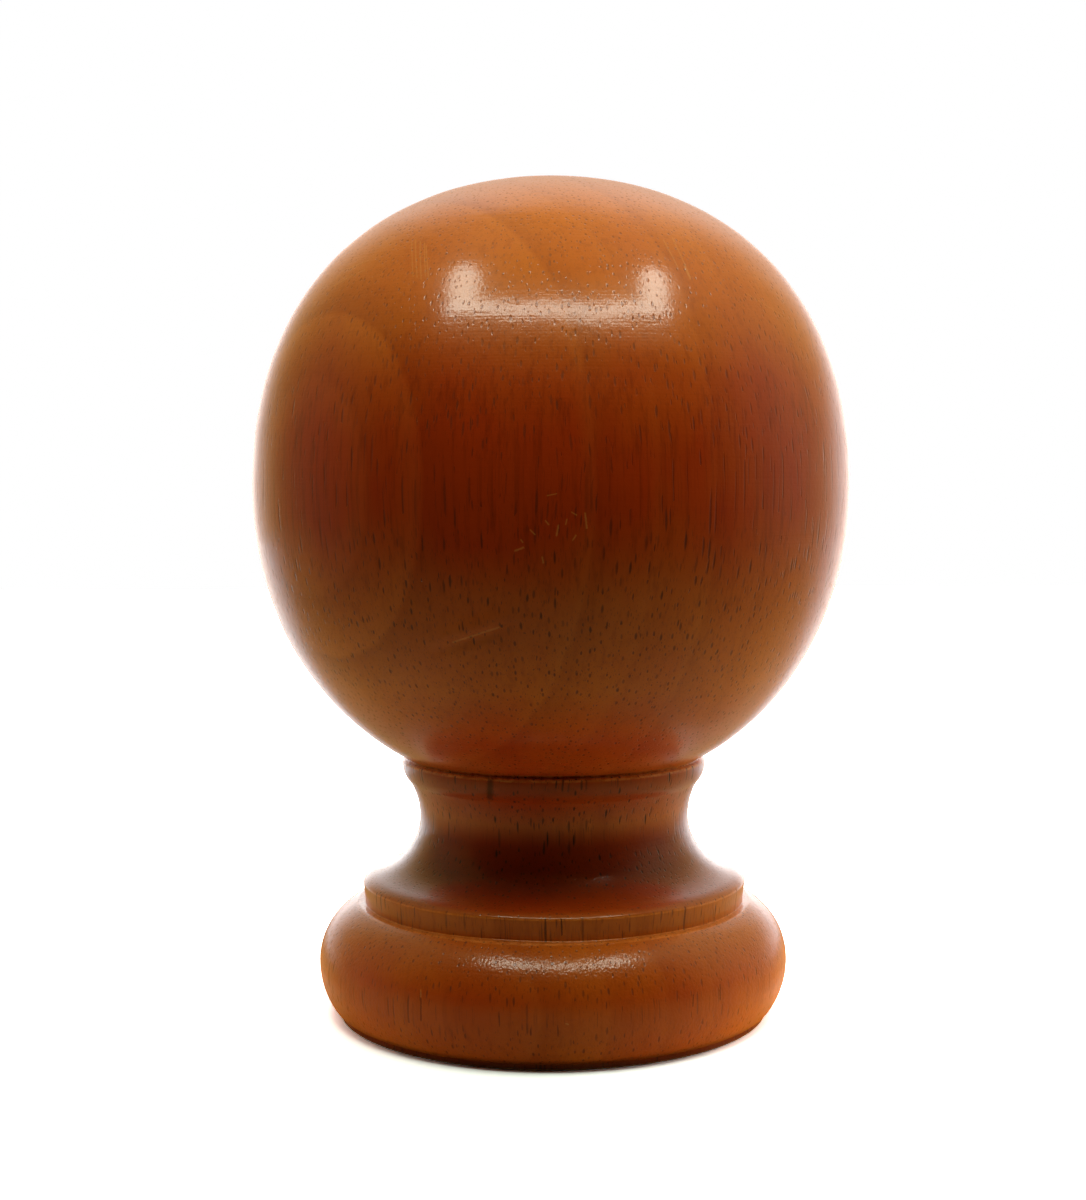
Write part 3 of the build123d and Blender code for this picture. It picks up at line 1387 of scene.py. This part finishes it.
@dataclass(frozen=True)
class StudioCamera:
    """The camera, as the finial's outline in the photograph places it."""

    distance: float = 362.8
    height: float = 103.3
    pitch: float = 3.712
    yaw: float = -0.255
    roll: float = -0.246
    focal_pixels: float = 1873.16
    frame_pixels: float = 1200.0
    sensor: float = 36.0

    def build(self) -> bpy.types.Object:
        """Makes the camera and gives it to the scene.

        Returns:
            The camera.
        """
        pitch, yaw, roll = (math.radians(v) for v in (self.pitch, self.yaw, self.roll))
        ahead = Vector((
            math.sin(yaw) * math.cos(pitch), math.cos(yaw) * math.cos(pitch), -math.sin(pitch)
        ))
        right = Vector((math.cos(yaw), -math.sin(yaw), 0))
        up = right.cross(ahead)
        tilted_right = math.cos(roll) * right + math.sin(roll) * up
        tilted_up = -math.sin(roll) * right + math.cos(roll) * up
        data = bpy.data.cameras.new("studio_camera")
        data.sensor_fit = "AUTO"
        data.sensor_width = self.sensor
        data.lens = self.focal_pixels * self.sensor / self.frame_pixels
        data.clip_start = 0.01
        camera = bpy.data.objects.new("studio_camera", data)
        turned = Matrix((tilted_right, tilted_up, -ahead)).transposed().to_4x4()
        place = Vector((0, -self.distance, self.height)) * MM
        camera.matrix_world = Matrix.Translation(place) @ turned
        bpy.context.scene.collection.objects.link(camera)
        bpy.context.scene.camera = camera
        return camera


def around(graph: Graph, angle: Socket, levels: Levels) -> Socket:
    """Level in a direction, from levels at angles.

    Args:
        graph: The node graph to add to.
        angle: Degrees round from the front, positive to the right.
        levels: Pairs of angle and level, from -180 to 180.

    Returns:
        The level, which follows straight lines between the pairs.
    """
    brightest = max(level for _, level in levels)
    stops = [(at / 360 + 0.5, level / brightest) for at, level in levels]
    share = graph.ramp(graph.math("MULTIPLY_ADD", angle, 1 / 360, 0.5), stops)
    return graph.math("MULTIPLY", share, brightest)


@dataclass(frozen=True)
class FloorTone:
    """Levels of the floor by angle from the finial, close by and further off.

    The distances from the turning axis at which they fade are in metres.
    """

    close: Levels
    near: Levels
    far: Levels
    start: float = 0.085
    end: float = 0.15
    near_start: float = 0.05
    near_end: float = 0.075

    def level(self, graph: Graph, angle: Socket, reach: Socket) -> Socket:
        """Level of the floor at a place.

        Args:
            graph: The floor's graph.
            angle: Degrees round from the front, positive to the right.
            reach: Distance from the finial's axis, in metres.

        Returns:
            The level, which fades from close to near and from near to far.
        """
        level = around(graph, angle, self.close)
        rings = ((self.near, self.near_start, self.near_end), (self.far, self.start, self.end))
        for levels, start, end in rings:
            beyond = graph.math("SUBTRACT", around(graph, angle, levels), level)
            level = graph.math("MULTIPLY_ADD", graph.smooth(reach, start, end), beyond, level)
        return level


@dataclass(frozen=True)
class TentWalls:
    """Levels of the light tent round its dark open front, by angle from the finial."""

    walls: Levels
    mids: Levels
    tops: Levels
    top_start: float
    top_end: float
    opening_left: float
    opening_right: float
    opening_top: float
    opening_level: float = 0.0
    softness: float = 5.0
    mid_start: float = 1.0
    mid_end: float = 18.0
    warmth: Colour = (1.0, 1.0, 1.0)
    whitening: tuple[float, float] = (0.15, 1.0)

    def tinted(self, graph: Graph, level: Socket) -> Socket:
        """The colour of a level, which is warm where dim and white where bright."""
        tint = graph.mix(graph.smooth(level, *self.whitening), self.warmth, (1.0, 1.0, 1.0))
        return graph.mix(1.0, graph.join(level, level, level), tint, "MULTIPLY")

    def colour(self, graph: Graph, angle: Socket, rise: Socket) -> Socket:
        """Colour of the tent in each direction.

        Args:
            graph: The world's node graph.
            angle: Degrees round from the front, positive to the right.
            rise: Degrees above the horizon.

        Returns:
            The colour, which is warm in the tent's dim parts and white in its bright ones.
        """
        lit = around(graph, angle, self.walls)
        rings = (
            (self.mids, self.mid_start, self.mid_end), (self.tops, self.top_start, self.top_end),
        )
        for levels, start, end in rings:
            share = graph.smooth(rise, start, end)
            above = graph.math("SUBTRACT", around(graph, angle, levels), lit)
            lit = graph.math("MULTIPLY_ADD", share, above, lit)
        edge = self.softness
        left = graph.smooth(angle, self.opening_left - edge, self.opening_left + edge)
        right = graph.smooth(angle, self.opening_right + edge, self.opening_right - edge)
        below = graph.smooth(rise, self.opening_top + edge / 2, self.opening_top - edge / 2)
        opening = graph.math("MULTIPLY", graph.math("MULTIPLY", left, right), below)
        level = graph.math("MULTIPLY_ADD", opening, graph.math("SUBTRACT", self.opening_level, lit), lit)
        return self.tinted(graph, level)


@dataclass(frozen=True)
class Studio:
    """A small white light tent, open to the front, with lamps along its upper front edge."""

    front_edge: float = 195.0
    half_width: float = 600.0
    depth: float = 1400.0
    bounce: FloorTone = FloorTone(
        close=(
            (-180, 2.2), (-90, 2.7), (-60, 2.0), (-35, 1.1), (0, 0.6), (35, 1.3), (60, 2.4), (90, 3.3),
            (180, 2.2),
        ),
        near=(
            (-180, 0.85), (-150, 0.95), (-110, 1.3), (-80, 1.7), (-60, 1.1), (-35, 0.55), (0, 0.42),
            (35, 0.5), (60, 1.1), (80, 1.6), (110, 1.3), (150, 0.95), (180, 0.85),
        ),
        far=(
            (-180, 1.1), (-150, 1.3), (-115, 1.6), (-90, 0.6), (-70, 0.25), (0, 0.3), (70, 0.3),
            (90, 0.7), (115, 1.7), (150, 1.3), (180, 1.1),
        ),
    )
    sheen: FloorTone = FloorTone(
        close=(
            (-180, 0.7), (-140, 0.8), (-110, 0.6), (-90, 0.5), (-60, 0.15), (-35, 0.05), (35, 0.05),
            (60, 0.2), (90, 0.6), (110, 0.7), (140, 0.9), (180, 0.7),
        ),
        near=(
            (-180, 0.3), (-140, 0.4), (-115, 0.4), (-90, 0.25), (-60, 0.18), (-30, 0.08), (30, 0.08),
            (60, 0.18), (90, 0.3), (115, 0.5), (140, 0.5), (180, 0.3),
        ),
        far=(
            (-180, 5.0), (-170, 3.9), (-160, 2.7), (-150, 1.8), (-135, 0.95), (-115, 0.32), (-95, 0.1),
            (-60, 0.03), (60, 0.03), (95, 0.12), (115, 0.4), (135, 0.95), (150, 1.8), (160, 2.7),
            (170, 3.9), (180, 5.0),
        ),
        end=0.3,
    )
    shown_floor: Colour = (2.7, 3.0, 2.9)
    shed: TentWalls = TentWalls(
        walls=(
            (-180, 1.0), (-157, 1.1), (-142, 1.4), (-127, 1.35), (-112, 1.15), (-97, 0.35), (-85, 0.0),
            (85, 0.05), (97, 1.0), (112, 2.3), (127, 2.7), (142, 2.3), (157, 1.3), (180, 1.0),
        ),
        mids=(
            (-180, 1.3), (-157, 1.3), (-142, 1.3), (-127, 1.1), (-112, 0.9), (-97, 0.45), (-84, 0.1),
            (72, 0.3), (84, 1.0), (97, 1.8), (112, 2.2), (127, 2.3), (142, 2.1), (157, 1.7), (180, 1.3),
        ),
        tops=(
            (-180, 1.5), (-135, 1.5), (-95, 1.5), (-60, 0.9), (-40, 0.3), (40, 0.25), (60, 0.8),
            (95, 1.6), (135, 1.7), (180, 1.5),
        ),
        top_start=56, top_end=66,
        opening_left=-84, opening_right=77, opening_top=62,
    )
    mirrored: TentWalls = TentWalls(
        walls=(
            (-180, 5.0), (-170, 3.6), (-160, 1.9), (-150, 0.9), (-135, 0.45), (-120, 0.18),
            (-105, 0.08), (-90, 0.05), (90, 0.06), (105, 0.1), (120, 0.3), (135, 0.7), (150, 1.2),
            (160, 2.2), (170, 3.8), (180, 5.0),
        ),
        mids=(
            (-180, 0.75), (-165, 0.8), (-150, 0.55), (-135, 0.28), (-112, 0.12), (-90, 0.1),
            (-75, 0.1), (75, 0.12), (90, 0.12), (112, 0.18), (135, 0.35), (150, 0.65), (165, 0.8),
            (180, 0.75),
        ),
        tops=(
            (-180, 0.3), (-120, 0.4), (-70, 0.28), (-35, 0.25), (35, 0.28), (70, 0.3), (120, 0.4),
            (180, 0.3),
        ),
        top_start=54, top_end=68,
        opening_left=-75, opening_right=78, opening_top=60,
        warmth=(1.0, 0.66, 0.1),
    )
    lamps: tuple[SoftBox, ...] = (
        SoftBox("left_bar", (-73, -121, 271), 88, 24, 9.8, -24),
        SoftBox("front_bar", (10, -138, 271), 92, 24, 9.8, 0),
        SoftBox("right_bar", (93, -116, 271), 86, 24, 9.8, 27),
        SoftBox("left_lamp", (-80, -79, 271), 33, 64, 7.4, -16),
        SoftBox("right_lamp", (98, -72, 271), 33, 62, 8.2, 19),
    )

    def _floor(self) -> bpy.types.Object:
        """Makes the pale floor, which ends at the tent's open front.

        Returns:
            The floor.
        """
        w, front, back = self.half_width * MM, -self.front_edge * MM, self.depth * MM
        mesh = bpy.data.meshes.new("studio_floor")
        corners = [(-w, front, 0), (w, front, 0), (w, back, 0), (-w, back, 0)]
        mesh.from_pydata(corners, [], [(0, 1, 2, 3)])
        floor = bpy.data.objects.new("studio_floor", mesh)
        bpy.context.scene.collection.objects.link(floor)
        made, graph = new_material("pale_floor")
        path = graph.add("ShaderNodeLightPath")
        x, y, z = graph.split(graph.add("ShaderNodeTexCoord").outputs["Object"])
        angle = graph.bearing(x, y)
        reach = graph.vector("LENGTH", graph.join(x, y, 0.0))
        bounce = self.bounce.level(graph, angle, reach)
        sheen = self.mirrored.tinted(graph, self.sheen.level(graph, angle, reach))
        bounce = graph.mix(path.outputs["Is Glossy Ray"], graph.join(bounce, bounce, bounce), sheen)
        seen = graph.math("MAXIMUM", path.outputs["Is Camera Ray"], path.outputs["Is Transmission Ray"])
        shade = graph.mix(seen, bounce, self.shown_floor)
        diffuse = graph.add("ShaderNodeBsdfDiffuse")
        graph.put(shade, diffuse.inputs["Color"])
        graph.end_with(diffuse)
        mesh.materials.append(made)
        return floor

    def _tent(self) -> None:
        """Makes the world: white to the camera, and to the finial a tent with a dark opening."""
        world = bpy.data.worlds.new("light_tent")
        bpy.context.scene.world = world
        world.use_nodes = True
        world.node_tree.nodes.clear()
        graph = Graph(world.node_tree)
        x, y, z = graph.split(graph.add("ShaderNodeTexCoord").outputs["Generated"])
        angle = graph.bearing(x, y)
        rise = graph.math("MULTIPLY", graph.math("ARCSINE", z), 180 / math.pi)
        path = graph.add("ShaderNodeLightPath")
        level = graph.mix(
            path.outputs["Is Glossy Ray"],
            self.shed.colour(graph, angle, rise),
            self.mirrored.colour(graph, angle, rise),
        )
        white = graph.math("MAXIMUM", path.outputs["Is Camera Ray"], path.outputs["Is Transmission Ray"])
        background = graph.add("ShaderNodeBackground")
        graph.put(graph.mix(white, level, (1.0, 1.0, 1.0)), background.inputs["Color"])
        graph.end_with(background, "ShaderNodeOutputWorld")

    def build(self) -> None:
        """Makes the floor, the tent and the lamps."""
        self._floor()
        self._tent()
        for lamp in self.lamps:
            lamp.build()


@dataclass
class Finial:
    """The dressed finial: its mesh, its finishes and its ties to the frame."""

    section: TurnedSection = field(default_factory=TurnedSection)

    def build(self) -> bpy.types.Object:
        """Makes the finial and puts it in the solid's place.

        Returns:
            The finished piece.
        """
        piece = FinialBody(self.section).build()
        piece.data.materials.append(VarnishedWood(self.section).material())
        piece.data.materials.append(RawWood().material())
        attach(piece, "root")
        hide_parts(NODE)
        return piece


def main() -> None:
    """Builds the studio and the finial, and reports each piece."""
    logging.basicConfig(level=logging.INFO, format="%(name)s: %(message)s")
    bpy.context.scene.view_settings.view_transform = "Standard"
    StudioCamera().build()
    studio = Studio()
    studio.build()
    LOG.info("studio: floor, tent and %d lamps", len(studio.lamps))
    piece = Finial().build()
    LOG.info("%s: %d faces", piece.name, len(piece.data.polygons))


if __name__ == "__main__":
    main()
